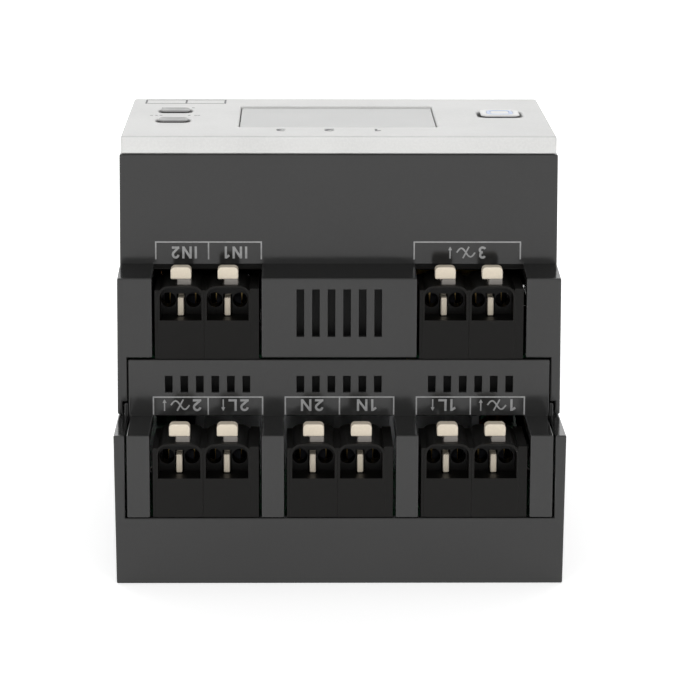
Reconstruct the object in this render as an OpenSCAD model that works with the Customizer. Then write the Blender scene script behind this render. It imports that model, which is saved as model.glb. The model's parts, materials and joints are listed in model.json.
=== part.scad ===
// DIN-rail smart energy module, four modules wide, lying on its rail side.
// X runs across the width, Y along the rail opening's height, Z up from the back to the front cover.
// The origin is the middle of the footprint, on the plane of the back.

/* [Housing] */
// Overall width across the side walls at the middle step
body_w = 72; // [70:0.5:74]
// Length of the base block from end to end
base_l = 90; // [88:1:94]
// Length of the middle step that holds the upper terminals
step_l = 63.3; // [62:0.1:65]
// Length of the nose that comes through the cabinet's cut-out
nose_l = 45; // [44:0.5:45.5]
// Height of the base block's ledge above the back
base_h = 24.4; // [24:0.1:25]
// Height of the middle step at its outer edge
step_h = 47.2; // [46.8:0.1:47.6]
// Height of the nose, under the front cover
nose_h = 66; // [65.5:0.1:66.5]
// Height of the front cover's face above the back
total_h = 69; // [68.8:0.1:69.4]
// Moulded wall thickness
wall = 1.6; // [1.4:0.1:1.8]
// How much narrower the base is at the back than at its ledge, over both sides
base_taper = 0.5; // [0:0.1:0.8]

/* [Terminals] */
// Distance between two neighbouring poles
pole_pitch = 7.62; // [7.5:0.01:7.8]
// Width of one opening for a two-pole terminal block
port_w = 17.8; // [17.6:0.1:18.2]
// Distance from one terminal opening to the next
port_pitch = 21.38; // [21.2:0.02:21.6]
// Height of a terminal block
block_h = 12.05; // [12:0.05:12.2]
// Depth of a terminal block
block_d = 13.4; // [13:0.1:14]
// Travel of a release button
release_travel = 0.7; // [0.5:0.1:0.8]

/* [Vents] */
// Distance between two slits
slit_pitch = 2.52; // [2.4:0.02:2.6]
// Width of a slit
slit_w = 1.22; // [1:0.02:1.4]
// Number of slits in each group
slit_count = 6; // [4:1:6]

/* [Front] */
// Width of the display window
window_w = 33; // [30:0.5:34]
// Length of the display window
window_l = 24.4; // [22:0.2:25]
// Travel of the front buttons
key_travel = 0.4; // [0.3:0.05:0.5]

/* [Rail] */
// Width of the top-hat rail across its flanges
rail_w = 35; // [35:1:35]
// Depth of the rail seat above the back
rail_seat = 5; // [5:0.1:5.4]
// Travel of the rail latch
latch_travel = 3.5; // [3:0.1:3.5]

/* [Hidden] */
node = "all";
gap = 0.2;
half_w = body_w / 2;
base_y = base_l / 2;
step_y = step_l / 2;
nose_y = nose_l / 2;
inner_x = half_w - 1.75;          // inner face of the base's side walls
upper_inner_x = half_w - wall;    // inner face of the upper shell's side walls
shelf_h = step_h + 0.7;           // the step's ledge where it meets the nose
front_sill = 10.83;               // top edge of the base's end walls, under the terminals
panel_top = 33.74;                // top edge of a terminal panel
upper_sill = 34.04;               // bottom edge of the upper shell's end walls
panel_x = half_w - 2.05;          // half width of a panel's lower part
tongue = [34.3, 34.97, 2.1];      // inner face, outer face and height of the seam's tongue

// Boards
board_t = 1.6;
power_board_z = 9.3;
terminal_board_z = 32.2;
display_board_z = 60.4;
lcd_z = 66.2;
board_post = [30, 20];            // place of a board screw, mirrored to four

// Terminal blocks: local x from the block's left edge, y into the housing, z up
block_w = 16.9;
block_back = [0.3, 0.35];         // how far a lower and an upper block's face stands behind its wall
edge_strip = 0.41;                // plain strip left of the first pole
pole_x = [edge_strip + pole_pitch / 2, edge_strip + pole_pitch * 1.5];
pocket_w = 6.75;
pocket_z = [6.4, 11.7];
pocket_d = 5;
pocket_back = 0.6;                // thickness of the wall behind a pocket
blade_x = [-0.6, 0.4];            // sides of the button's blade and rib
blade_y = [5.8, 7];
stem_right = 1.68;
rib_y = 3.5;
rib_top = 9.5;
play = 0.18;                      // clearance round the blade, the rib and the stem
lower_block_z = power_board_z + board_t;
upper_block_z = terminal_board_z + board_t;
ports_lower = [-port_pitch, 0, port_pitch];
ports_upper = [-21.45, 21.45];
ports_rear = [-port_pitch, port_pitch];

// Front buttons: [x, y, width, length, corner radius, height above the cover]
system_key = [27.8, 3, 6.6, 7, 1.3, 0.35];
channel_key_at = [-27.7, 6.8, 4.9, 3.9, 0.9, 0.35];
select_key_at = [-27.7, -4.7, 4.9, 3.9, 0.9, 0.35];
window_y = 0.25;
key_flange = 1;                   // how far a key's collar reaches past its cap
switch_h = 2;                     // height of a switch's case above its board

// Rail latch: a slider under the base's rear half
latch_w = 14;
latch_tip_y = 14.6;
latch_end_y = 44.7;
latch_z = [0.4, 3.5];
latch_rail = [1.5, 1, 1.4];       // the side tongues' lowest z, height and reach
spring_y = [27, 36.6];            // the latch spring's two ends

RELEASE_UPPER = ["release_button_upper_1", "release_button_upper_2",
                 "release_button_upper_3", "release_button_upper_4"];
RELEASE_LOWER = ["release_button_lower_1", "release_button_lower_2", "release_button_lower_3",
                 "release_button_lower_4", "release_button_lower_5", "release_button_lower_6"];
RELEASE_REAR = ["release_button_rear_1", "release_button_rear_2",
                "release_button_rear_3", "release_button_rear_4"];
BLOCKS_UPPER = ["terminal_block_upper_left", "terminal_block_upper_right"];
BLOCKS_LOWER = ["terminal_block_lower_left", "terminal_block_lower_middle", "terminal_block_lower_right"];
BLOCKS_REAR = ["terminal_block_rear_left", "terminal_block_rear_right"];
NODES = concat(
    ["base_housing", "upper_housing", "front_terminal_panel", "rear_terminal_panel"],
    ["front_cover", "touch_guards"],
    ["display_window", "lcd_panel", "backlight_guide", "lcd_contact_strip"],
    ["system_button", "status_light_ring", "channel_key", "select_key"],
    ["system_switch_plunger", "channel_switch_plunger", "select_switch_plunger", "key_switches"],
    ["display_board", "terminal_board", "power_board", "board_headers", "board_screws"],
    BLOCKS_UPPER, BLOCKS_LOWER, BLOCKS_REAR,
    RELEASE_UPPER, RELEASE_LOWER, RELEASE_REAR,
    ["contact_bars", "clamp_springs"],
    ["heat_sink", "power_transistors", "storage_capacitors", "chokes", "fuses"],
    ["supply_transformer", "radio_module", "antenna_wire", "control_chips", "status_led"],
    ["rail_latch", "latch_spring"]);

// ---------- outlines and helpers ----------

function arc(c, r, a0, a1, n = 6) =
    [for (i = [0:n]) let (a = a0 + (a1 - a0) * i / n) [c[0] + r * cos(a), c[1] + r * sin(a)]];

// A rectangle centred on the origin with four round corners
function round_rect(w, h, r) = concat(
    arc([w / 2 - r, h / 2 - r], r, 0, 90), arc([r - w / 2, h / 2 - r], r, 90, 180),
    arc([r - w / 2, r - h / 2], r, 180, 270), arc([w / 2 - r, r - h / 2], r, 270, 360));

// A rectangle standing on y = z0, centred on x = 0, with two round top corners
function arch(w, z0, z1, r) = concat(
    [[w / 2, z0]], arc([w / 2 - r, z1 - r], r, 0, 90), arc([r - w / 2, z1 - r], r, 90, 180),
    [[-w / 2, z0]]);

// Extrudes an XZ outline from y0 to y1
module along_y(y0, y1) translate([0, y1, 0]) rotate([90, 0, 0]) linear_extrude(y1 - y0) children();

// Extrudes a YZ outline over a width w centred on x = 0
module along_x(w) translate([-w / 2, 0, 0]) rotate([90, 0, 90]) linear_extrude(w) children();

// A box from one corner to the opposite one
module block(a, b) translate(a) cube(b - a);

// A box centred on x = 0 with half width x
module wide(x, y0, y1, z0, z1) block([-x, y0, z0], [x, y1, z1]);

module both_sides() { children(); mirror([1, 0, 0]) children(); }
module both_ends() { children(); mirror([0, 1, 0]) children(); }
module turned_round() rotate([0, 0, 180]) children();

module slits(centre, y0, y1, z0, z1)
    for (i = [0:slit_count - 1])
        let (x = centre + (i - (slit_count - 1) / 2) * slit_pitch)
            block([x - slit_w / 2, y0, z0], [x + slit_w / 2, y1, z1]);

// ---------- housing ----------

module latch_channel() {
    play = 0.3;
    wide(latch_w / 2 + play, 20, base_y + 1, -1, latch_z[1] + play);
    wide(latch_w / 2 + latch_rail[2] + play, 20, base_y + 1,
        latch_rail[0] - gap, latch_rail[0] + latch_rail[1] + gap);
}

module rail_recess() {
    seat = rail_w / 2 + 0.3;
    lip = seat - 3;
    wide(half_w + 1, -lip, 20.5, -1, rail_seat);
    wide(half_w + 1, -seat, 0, rail_seat - 1.3, rail_seat);
}

module base_housing() color("#484848") {
    difference() {
        union() {
            along_y(-base_y, base_y) polygon([
                [-half_w + base_taper / 2, 0], [half_w - base_taper / 2, 0],
                [half_w, base_h], [-half_w, base_h]]);
            both_sides() block(
                [tongue[0], -step_y + 0.06, base_h - 1],
                [tongue[1], step_y - 0.06, base_h + tongue[2]]);
        }
        difference() {
            union() {
                wide(inner_x, -base_y + wall, base_y - wall, rail_seat + wall, base_h + 3);
                both_ends() wide(inner_x, 24, base_y - wall, 2, rail_seat + 2);
            }
            wide(latch_w / 2 + 3.4, 20, base_y, 0, latch_z[1] + 0.3 + wall);
            both_ends() both_sides() translate([board_post[0], board_post[1], 0])
                cylinder(h = power_board_z, r = 3, $fn = 40);
        }
        both_ends() wide(inner_x, base_y - wall - 1, base_y + 1, front_sill, base_h + 3);
        rail_recess();
        latch_channel();
        back_slits();
        both_ends() both_sides() {
            translate([board_post[0], board_post[1], power_board_z - 2.6]) cylinder(h = 3, r = 1.1, $fn = 32);
            block([inner_x - 1, 11.5, 16.4], [half_w + 1, 19.5, 19.2]);
        }
    }
    latch_post();
}

// Slits through the floor on both sides of the rail, clear of the latch
module back_slits() for (x = [-28:5.6:28]) {
    block([x - 0.8, -41, -1], [x + 0.8, -27, 3]);
    if (abs(x) > latch_w / 2 + 5) block([x - 0.8, 27, -1], [x + 0.8, 41, 3]);
}

// The post that the latch spring pushes against
module latch_post() wide(1.5, spring_y[1], spring_y[1] + 1.6, 1, latch_z[1] + 1);

module upper_housing() color("#4a4a4a") {
    difference() {
        intersection() {
            along_x(body_w + 2) polygon([
                [-step_y, base_h + 0.25], [-step_y, step_h], [-nose_y, shelf_h], [-nose_y, nose_h],
                [nose_y, nose_h], [nose_y, shelf_h], [step_y, step_h], [step_y, base_h + 0.25]]);
            along_y(-step_y, step_y) polygon([
                [-half_w - 0.05, base_h], [half_w + 0.05, base_h],
                [half_w - 0.22, nose_h + 1], [-half_w + 0.22, nose_h + 1]]);
        }
        along_x(2 * upper_inner_x) polygon([
            [-step_y + wall, 20], [-step_y + wall, step_h - wall], [-nose_y + wall, shelf_h - wall],
            [-nose_y + wall, nose_h + 1], [nose_y - wall, nose_h + 1], [nose_y - wall, shelf_h - wall],
            [step_y - wall, step_h - wall], [step_y - wall, 20]]);
        both_ends() wide(upper_inner_x, step_y - wall - 1, step_y + 1, 20, upper_sill);
        both_sides() block(
            [upper_inner_x - 1, -step_y - 1, 20],
            [tongue[1] + 0.25, step_y + 1, base_h + tongue[2] + 0.25]);
        for (x = ports_upper) translate([x, 0, 0]) upper_port();
        both_ends() slits(0, -step_y - 1, -step_y + wall + 1, 37.57, 45.39);
    }
    both_ends() both_sides() {
        snap_hook();
        block([upper_inner_x - 1.2, 8, terminal_board_z - 2], [upper_inner_x + 0.3, 12, terminal_board_z]);
        block([upper_inner_x - 1.6, 12, display_board_z - 2], [upper_inner_x + 0.3, 16, display_board_z]);
    }
}

// Cut-out in the ledge, with a shallow recess in the nose wall's lower edge behind it
module upper_port() {
    w = port_w / 2 - 0.05;
    wide(w, -step_y - 1, -nose_y, 20, step_h + 3);
    wide(w, -nose_y - 1, -nose_y + 0.5, 20, shelf_h - 0.06);
    wide(w, -nose_y - 1, -nose_y + wall + 1, 20, shelf_h - 1.15);
}

// Arm inside the base's side wall, with its barb in the base's window
module snap_hook() {
    along_hook = [12, 19];
    length = along_hook[1] - along_hook[0];
    translate([0, along_hook[1], 0]) rotate([90, 0, 0]) linear_extrude(length) polygon([
        [33, 16.6], [34.05, 16.6], [35.3, 17.8], [35.3, 18.4], [34.05, 18.8], [34.05, 27.4],
        [34.6, 28], [34.6, 31], [33, 29.4]]);
}

// Stepped panel round the lower terminals: front wall, ledge and step wall
module terminal_panel(openings) difference() {
    union() {
        wide(panel_x, -base_y, -base_y + wall, front_sill + 0.1, base_h);
        wide(panel_x, -base_y, -step_y + wall, base_h - wall, base_h);
        wide(inner_x, -step_y, -step_y + wall, base_h - wall, panel_top);
        both_sides() block([10, -base_y + wall, front_sill - 2], [11.4, -base_y + wall + 1, front_sill + 4]);
        both_sides() block([31, -base_y + wall, front_sill - 2], [33.4, -base_y + wall + 1, front_sill + 4]);
    }
    for (x = openings)
        block([x - port_w / 2, -base_y - 1, 0], [x + port_w / 2, -step_y, base_h + 1]);
    for (x = openings)
        block([x - port_w / 2, -step_y - 1, 0], [x + port_w / 2, -step_y + wall + 1, base_h - 0.01]);
    for (x = ports_lower) slits(x, -step_y - 1, -step_y + wall + 1, 28.3, 31.05);
}

module front_terminal_panel() color("#4d4d4d") terminal_panel(ports_lower);
module rear_terminal_panel() color("#4d4d4d") turned_round() terminal_panel(ports_rear);

// Black sheets behind the slits, above and below the terminal board
module touch_guards() color("#141414") both_ends() {
    wide(31, -28.6, -27.9, base_h, terminal_board_z - 0.3);
    wide(11, -28.6, -27.9, terminal_board_z + board_t, step_h - wall - 0.4);
}

// ---------- terminals ----------

module terminal_block() color("#1c1b1a") difference() {
    union() {
        block([0, 0.12, 0], [block_w, block_d, block_h - 0.7]);
        block([edge_strip + pole_pitch * 2 - 0.2, 0.05, 0], [block_w, block_d, block_h - 0.4]);
        for (x = pole_x) translate([x, 0, 0])
            along_y(0, block_d) polygon(arch(pole_pitch - 0.12, 0, block_h, 1.8));
    }
    for (x = pole_x) translate([x, 0, 0]) pole_cuts();
}

module pole_cuts() {
    low = 4.7;                    // how far down the button's blade can go
    left = blade_x[0] - play;
    right = blade_x[1] + play;
    along_y(-1, pocket_d) polygon(arch(pocket_w, pocket_z[0], pocket_z[1], 1.5));
    // chamber for the blade behind the pocket, and the way from it to the rib
    block([left, pocket_d + pocket_back, low], [right, blade_y[1] + 0.3, block_h + 1]);
    block([left, pocket_d - 0.1, low], [right, pocket_d + pocket_back + 0.1, rib_top + 0.3]);
    block([left, pocket_d - 0.1, pocket_z[1] + 0.05], [right, pocket_d + pocket_back + 0.1, block_h + 1]);
    block([left, rib_y - 0.2, low], [right, pocket_d, pocket_z[0] + 0.1]);
    // opening for the stem
    block([left, 1.5, pocket_z[1] - 0.1], [stem_right + play, pocket_d, block_h + 1]);
    // two wire holes, one on each side of the rib
    for (x = [-2.15, 1.95]) translate([x, 0, 8.8]) rotate([-90, 0, 0]) cylinder(h = 9, r = 1.2, $fn = 32);
    // chamber for the clamp, open at the bottom
    block([-2.9, 8, -1], [2.9, 12.5, 10.6]);
}

// Button with its cap above the block, a stem, and a blade that ends in the rib between the wire holes
module release_button() color("#e9dfcf") {
    cap = [3.35, 2.3, 2];         // width, depth and height
    cap_y = 1.75;
    cap_z = block_h + release_travel + 0.1;
    rib_z = pocket_z[0] + 0.05;
    translate([0.02, 0, 0]) along_y(cap_y, cap_y + cap[1])
        polygon(arch(cap[0], cap_z, cap_z + cap[2], 0.7));
    block([blade_x[0], cap_y + 0.1, pocket_z[1] + 0.15], [stem_right, cap_y + cap[1] - 0.1, cap_z + 0.5]);
    block([blade_x[0], cap_y + 1, block_h + 0.5], [blade_x[1], blade_y[1], cap_z + 0.8]);
    block([blade_x[0], blade_y[0], rib_z], [blade_x[1], blade_y[1], block_h + 1]);
    block([blade_x[0], rib_y, rib_z], [blade_x[1], blade_y[0] + 0.2, rib_top]);
}

module at_upper(i)
    translate([ports_upper[i] - block_w / 2, -step_y + block_back[1], upper_block_z]) children();
module at_lower(i)
    translate([ports_lower[i] - block_w / 2, -base_y + block_back[0], lower_block_z]) children();
module at_pole(i) translate([pole_x[i % 2], 0, 0]) children();
module at_rear(i)
    turned_round() translate([ports_rear[i] - block_w / 2, -base_y + block_back[0], lower_block_z]) children();

module at_every_block() {
    for (i = [0:1]) at_upper(i) children();
    for (i = [0:2]) at_lower(i) children();
    for (i = [0:1]) at_rear(i) children();
}

// Bent contact with its solder pin, under the board's far side by 1.2
module contact_bar() color("#c8a15a") {
    translate([0, 12, 0]) {
        block([-2.2, -0.7, 3], [2.2, 0, 10]);
        block([-0.6, -0.7, -board_t - 1.2], [0.6, 0, 4]);
    }
}

// Bent strip: a long leg, a rounded bend at the back and a short leg, as one outline
module clamp_spring() color("#b9bcc0") {
    t = 0.35;
    translate([-2, 0, 0]) rotate([90, 0, 90]) linear_extrude(4) difference() {
        union() {
            translate([9.6, 8.9]) circle(r = 1.2, $fn = 40);
            polygon([[8.5, 10.1 - t], [9.6, 10.1 - t], [9.6, 10.1], [8.5, 10.1]]);
            polygon([[10.8 - t, 8.9], [10.8, 8.9], [9, 3.2], [9 - t, 3.2]]);
        }
        translate([9.6, 8.9]) circle(r = 1.2 - t, $fn = 40);
        polygon([[8, 7], [9.6, 7], [9.6, 9.6], [8, 9.6]]);
        polygon([[9.9, 7], [10.35, 8.6], [9.6, 8.6], [9.6, 7]]);
    }
}

module contact_bars() at_every_block() for (x = pole_x) translate([x, 0, 0]) contact_bar();
module clamp_springs() at_every_block() for (x = pole_x) translate([x, 0, 0]) clamp_spring();

// ---------- front cover, display and keys ----------

module key_hole(k, grow) translate([k[0], k[1], 0])
    linear_extrude(total_h + 5) polygon(round_rect(k[2] + grow, k[3] + grow, k[4] + grow / 2));

module front_cover() color("#e4e4e1") difference() {
    w = body_w - 0.85;
    l = nose_l - 0.3;
    translate([0, 0, nose_h + 0.05]) linear_extrude(total_h - nose_h - 0.05) polygon(round_rect(w, l, 0.5));
    translate([0, 0, nose_h - 1]) linear_extrude(total_h - nose_h - wall + 1)
        polygon(round_rect(w - 2.8, l - 2.8, 0.4));
    translate([0, window_y, nose_h]) linear_extrude(10) polygon(round_rect(window_w, window_l, 0.5));
    key_hole(system_key, 0.9);
    key_hole(channel_key_at, 0.7);
    key_hole(select_key_at, 0.7);
}

// Pale film on its carrier, glued on the liquid crystal panel, just under the cover's face
module display_window() color("#c9ccca") translate([0, window_y, total_h - 0.8])
    linear_extrude(0.55) polygon(round_rect(window_w - 0.3, window_l - 0.3, 0.4));

// Two glass plates; the lower one's free edge carries the contacts
module lcd_panel() color("#aeb3a9") translate([0, window_y, lcd_z]) {
    wide(16.2, -11.9, 11.9, 0, 1);
    wide(16.2, -10.4, 11.9, 1, total_h - 0.85 - lcd_z);
}

module backlight_guide() color("#f2f2ee") translate([0, window_y, display_board_z + board_t])
    difference() {
        wide(17, -12.8, 12.8, 0, lcd_z - 0.05 - display_board_z - board_t);
        wide(15.6, -11.8, -10.6, -1, 6);
    }

module lcd_contact_strip() color("#3c3c40") translate([0, window_y, display_board_z + board_t])
    wide(15.2, -11.6, -10.8, 0, lcd_z - 0.05 - display_board_z - board_t);

// A key's cap with the collar that holds it under the cover, and the stem to its switch
module front_key(k) translate([k[0], k[1], 0]) {
    top = total_h + k[5];
    collar_z = total_h - wall - 0.95;
    translate([0, 0, collar_z + 0.3]) linear_extrude(top - collar_z - 0.3)
        polygon(round_rect(k[2], k[3], k[4]));
    translate([0, 0, collar_z]) linear_extrude(0.85)
        polygon(round_rect(k[2] + 2 * key_flange, k[3] + 2 * key_flange, k[4]));
    translate([0, 0, display_board_z + board_t + switch_h + 0.9]) cylinder(h = 2.2, r = 1.2, $fn = 32);
}

module system_button() color("#f0f0ee") difference() {
    front_key(system_key);
    translate([system_key[0], system_key[1], total_h + system_key[5] - 1]) linear_extrude(2)
        difference() {
            polygon(round_rect(4.5, 5, 1.25));
            polygon(round_rect(3.1, 3.6, 0.75));
        }
}

module status_light_ring() color("#c9d2e4")
    translate([system_key[0], system_key[1], total_h + system_key[5] - 0.98]) linear_extrude(1)
        difference() {
            polygon(round_rect(4.4, 4.9, 1.2));
            polygon(round_rect(3.2, 3.7, 0.8));
        }

module channel_key() color("#c4c4c2") front_key(channel_key_at);
module select_key() color("#c4c4c2") front_key(select_key_at);

module switch_plunger(k) color("#2a2a2a")
    translate([k[0], k[1], display_board_z + board_t + switch_h - 0.5]) cylinder(h = 1.38, r = 1, $fn = 32);

module key_switches() color("#8f9194") for (k = [system_key, channel_key_at, select_key_at])
    translate([k[0], k[1], display_board_z + board_t]) difference() {
        wide(2.6, -2.1, 2.1, 0, switch_h);
        translate([0, 0, 0.8]) cylinder(h = 3, r = 1.1, $fn = 32);
    }

module status_led() color("#e8ecf4")
    translate([system_key[0], system_key[1] - 4.1, display_board_z + board_t]) wide(0.8, -0.4, 0.4, 0, 0.75);

// ---------- boards and what they carry ----------

module board(x, y, z) translate([0, 0, z]) wide(x, -y, y, 0, board_t);

module pin_holes() at_every_block() for (x = pole_x)
    translate([x, 11.65, -board_t - 0.5]) block([-0.8, -0.6, 0], [0.8, 0.6, board_t + 1]);

module power_board() color("#2f6b46") difference() {
    board(inner_x - 1.5, base_y - 5.2, power_board_z);
    pin_holes();
    both_ends() both_sides() {
        translate([board_post[0], board_post[1], 0]) cylinder(h = 20, r = 1.4, $fn = 32);
        block([32.6, 11, 0], [40, 20, 20]);
    }
}

module terminal_board() color("#2f6b46") difference() {
    board(upper_inner_x - 0.2, step_y - wall - 1.5, terminal_board_z);
    pin_holes();
    both_ends() both_sides() block([32.8, 11.5, 30], [40, 19.5, 40]);
}

module display_board() color("#2f6b46") board(upper_inner_x - 0.5, nose_y - wall - 0.3, display_board_z);

module board_headers() color("#26262a") {
    both_sides() block([9, 15, power_board_z + board_t], [26, 17.5, terminal_board_z]);
    block([-30, 15, terminal_board_z + board_t], [-12, 17.5, display_board_z]);
}

module board_screws() color("#b8bbc0") both_ends() both_sides()
    translate([board_post[0], board_post[1], power_board_z]) difference() {
        union() {
            translate([0, 0, -2.4]) cylinder(h = 2.4 + board_t + 0.1, r = 1, $fn = 32);
            translate([0, 0, board_t]) cylinder(h = 1.5, r = 2.2, $fn = 40);
        }
        translate([0, 0, board_t + 0.7]) wide(0.35, -1.6, 1.6, 0, 1);
        translate([0, 0, board_t + 0.7]) wide(1.6, -0.35, 0.35, 0, 1);
    }

// Finned plate between the power and terminal boards
module heat_sink() color("#b4b8bc") translate([0, -13, power_board_z + board_t]) {
    wide(24, -1.5, 0, 0, 20);
    for (i = [-5:5]) translate([i * 4.6, 0, 0]) wide(0.6, -6, -1.4, 2, 20);
}

module power_transistors() color("#232326") for (i = [-2.5:1:2.5])
    translate([i * 8, -13, power_board_z + board_t]) {
        wide(3.2, 0, 2.6, 4, 14);
        for (x = [-2, 0, 2]) translate([x, 0, 0]) wide(0.35, 1, 1.7, 0, 4.1);
    }

module storage_capacitors() color("#26303f") for (x = [-24, -14, 2])
    translate([x, 8, power_board_z + board_t]) {
        cylinder(h = 17, r = 4.2, $fn = 48);
        cylinder(h = 0.4, r = 4.4, $fn = 48);
    }

// Ring cores, wound evenly enough to read as solid rings of wire
module chokes() for (x = [13, 25]) translate([x, 6, power_board_z + board_t + 5.4]) color("#a5683a")
    rotate([90, 0, 0]) rotate_extrude($fn = 48) translate([3.6, 0]) circle(r = 1.7, $fn = 24);

module fuses() color("#e6e2d8") for (x = [-20, 0, 20]) translate([x, -24, power_board_z + board_t]) {
    wide(4.5, -2, 2, 0, 4);
    both_sides() block([4.5, -2.2, 0], [5.5, 2.2, 4.4]);
}

module supply_transformer() color("#d9b63c") translate([18, -3, terminal_board_z + board_t]) {
    wide(8, -6, 6, 1.5, 14);
    wide(5.5, -7.5, 7.5, 0, 13);
}

module radio_module() color("#c3c6ca") translate([-20, -3, terminal_board_z + board_t]) {
    wide(8, -6, 6, 0, 0.9);
    translate([0, 1, 0]) wide(7, -4.5, 4.5, 0.9, 3.1);
}

module antenna_wire() color("#c98b52") {
    r = 0.4;
    at = [-30, -3, terminal_board_z + board_t];
    translate(at) cylinder(h = 20, r = r, $fn = 16);
    translate(at + [0, 0, 20]) sphere(r = r, $fn = 16);
    translate(at + [0, 0, 20]) rotate([0, 90, 0]) cylinder(h = 24, r = r, $fn = 16);
}

module control_chips() color("#1d1d20") {
    translate([-4, 4, terminal_board_z + board_t]) wide(4.5, -4.5, 4.5, 0, 1.2);
    translate([-4, -10, terminal_board_z + board_t]) wide(2.5, -2, 2, 0, 1.4);
    translate([23, 14.5, display_board_z + board_t]) wide(3, -2.5, 2.5, 0, 1.1);
}

// ---------- rail latch ----------

module rail_latch() color("#3a3a3c") difference() {
    union() {
        along_x(latch_w) polygon([
            [latch_tip_y, latch_z[0] + 1.2], [latch_tip_y + 1.4, latch_z[0]], [latch_end_y, latch_z[0]],
            [latch_end_y, latch_z[1]], [latch_tip_y, latch_z[1]]]);
        wide(latch_w / 2 + latch_rail[2], 21.2, latch_end_y, latch_rail[0], latch_rail[0] + latch_rail[1]);
    }
    wide(1.9, spring_y[0], spring_y[1] + 2.2, -1, 5);
    wide(3, 41, 43, -1, 5);
}

// A point of the helix that is swept along +Y between the latch and the housing's post
function coil_point(t, turns, r, y0, y1) =
    [r * cos(360 * turns * t), y0 + (y1 - y0) * t, r * sin(360 * turns * t)];

module latch_spring() color("#c0c3c7") {
    turns = 7;
    steps = 84;
    sides = 6;
    wire = 0.22;
    r = 0.95;
    y0 = spring_y[0] + wire + 0.03;
    y1 = spring_y[1] - wire - 0.03;
    points = [for (i = [0:steps])
        let (t = i / steps, c = coil_point(t, turns, r, y0, y1), a = 360 * turns * t)
        for (k = [0:sides - 1]) let (b = 360 * k / sides)
            [c[0] + wire * cos(b) * cos(a), c[1] + wire * sin(b), c[2] + wire * cos(b) * sin(a)]];
    faces = concat(
        [[for (k = [0:sides - 1]) k]],
        [for (i = [0:steps - 1]) for (k = [0:sides - 1]) let (n = (k + 1) % sides)
            [i * sides + k, (i + 1) * sides + k, (i + 1) * sides + n, i * sides + n]],
        [[for (k = [sides - 1:-1:0]) steps * sides + k]]);
    translate([0, 0, (latch_z[0] + latch_z[1]) / 2]) polyhedron(points, faces);
}

// ---------- which node is drawn ----------

function wanted(name) = node == "all" || node == name;

if (wanted("base_housing")) base_housing();
if (wanted("upper_housing")) upper_housing();
if (wanted("front_terminal_panel")) front_terminal_panel();
if (wanted("rear_terminal_panel")) rear_terminal_panel();
if (wanted("front_cover")) front_cover();
if (wanted("touch_guards")) touch_guards();
if (wanted("display_window")) display_window();
if (wanted("lcd_panel")) lcd_panel();
if (wanted("backlight_guide")) backlight_guide();
if (wanted("lcd_contact_strip")) lcd_contact_strip();
if (wanted("system_button")) system_button();
if (wanted("status_light_ring")) status_light_ring();
if (wanted("channel_key")) channel_key();
if (wanted("select_key")) select_key();
if (wanted("system_switch_plunger")) switch_plunger(system_key);
if (wanted("channel_switch_plunger")) switch_plunger(channel_key_at);
if (wanted("select_switch_plunger")) switch_plunger(select_key_at);
if (wanted("key_switches")) key_switches();
if (wanted("display_board")) display_board();
if (wanted("terminal_board")) terminal_board();
if (wanted("power_board")) power_board();
if (wanted("board_headers")) board_headers();
if (wanted("board_screws")) board_screws();
for (i = [0:1]) if (wanted(BLOCKS_UPPER[i])) at_upper(i) terminal_block();
for (i = [0:2]) if (wanted(BLOCKS_LOWER[i])) at_lower(i) terminal_block();
for (i = [0:1]) if (wanted(BLOCKS_REAR[i])) at_rear(i) terminal_block();
for (i = [0:3]) if (wanted(RELEASE_UPPER[i])) at_upper(floor(i / 2)) at_pole(i) release_button();
for (i = [0:5]) if (wanted(RELEASE_LOWER[i])) at_lower(floor(i / 2)) at_pole(i) release_button();
for (i = [0:3]) if (wanted(RELEASE_REAR[i])) at_rear(floor(i / 2)) at_pole(i) release_button();
if (wanted("contact_bars")) contact_bars();
if (wanted("clamp_springs")) clamp_springs();
if (wanted("heat_sink")) heat_sink();
if (wanted("power_transistors")) power_transistors();
if (wanted("storage_capacitors")) storage_capacitors();
if (wanted("chokes")) chokes();
if (wanted("fuses")) fuses();
if (wanted("supply_transformer")) supply_transformer();
if (wanted("radio_module")) radio_module();
if (wanted("antenna_wire")) antenna_wire();
if (wanted("control_chips")) control_chips();
if (wanted("status_led")) status_led();
if (wanted("rail_latch")) rail_latch();
if (wanted("latch_spring")) latch_spring();
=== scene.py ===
"""Looks of the rail-mounted energy module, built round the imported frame. Lengths are in metres."""
import json
import math

import bmesh
import bpy
from mathutils import Matrix, Quaternion, Vector

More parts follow.
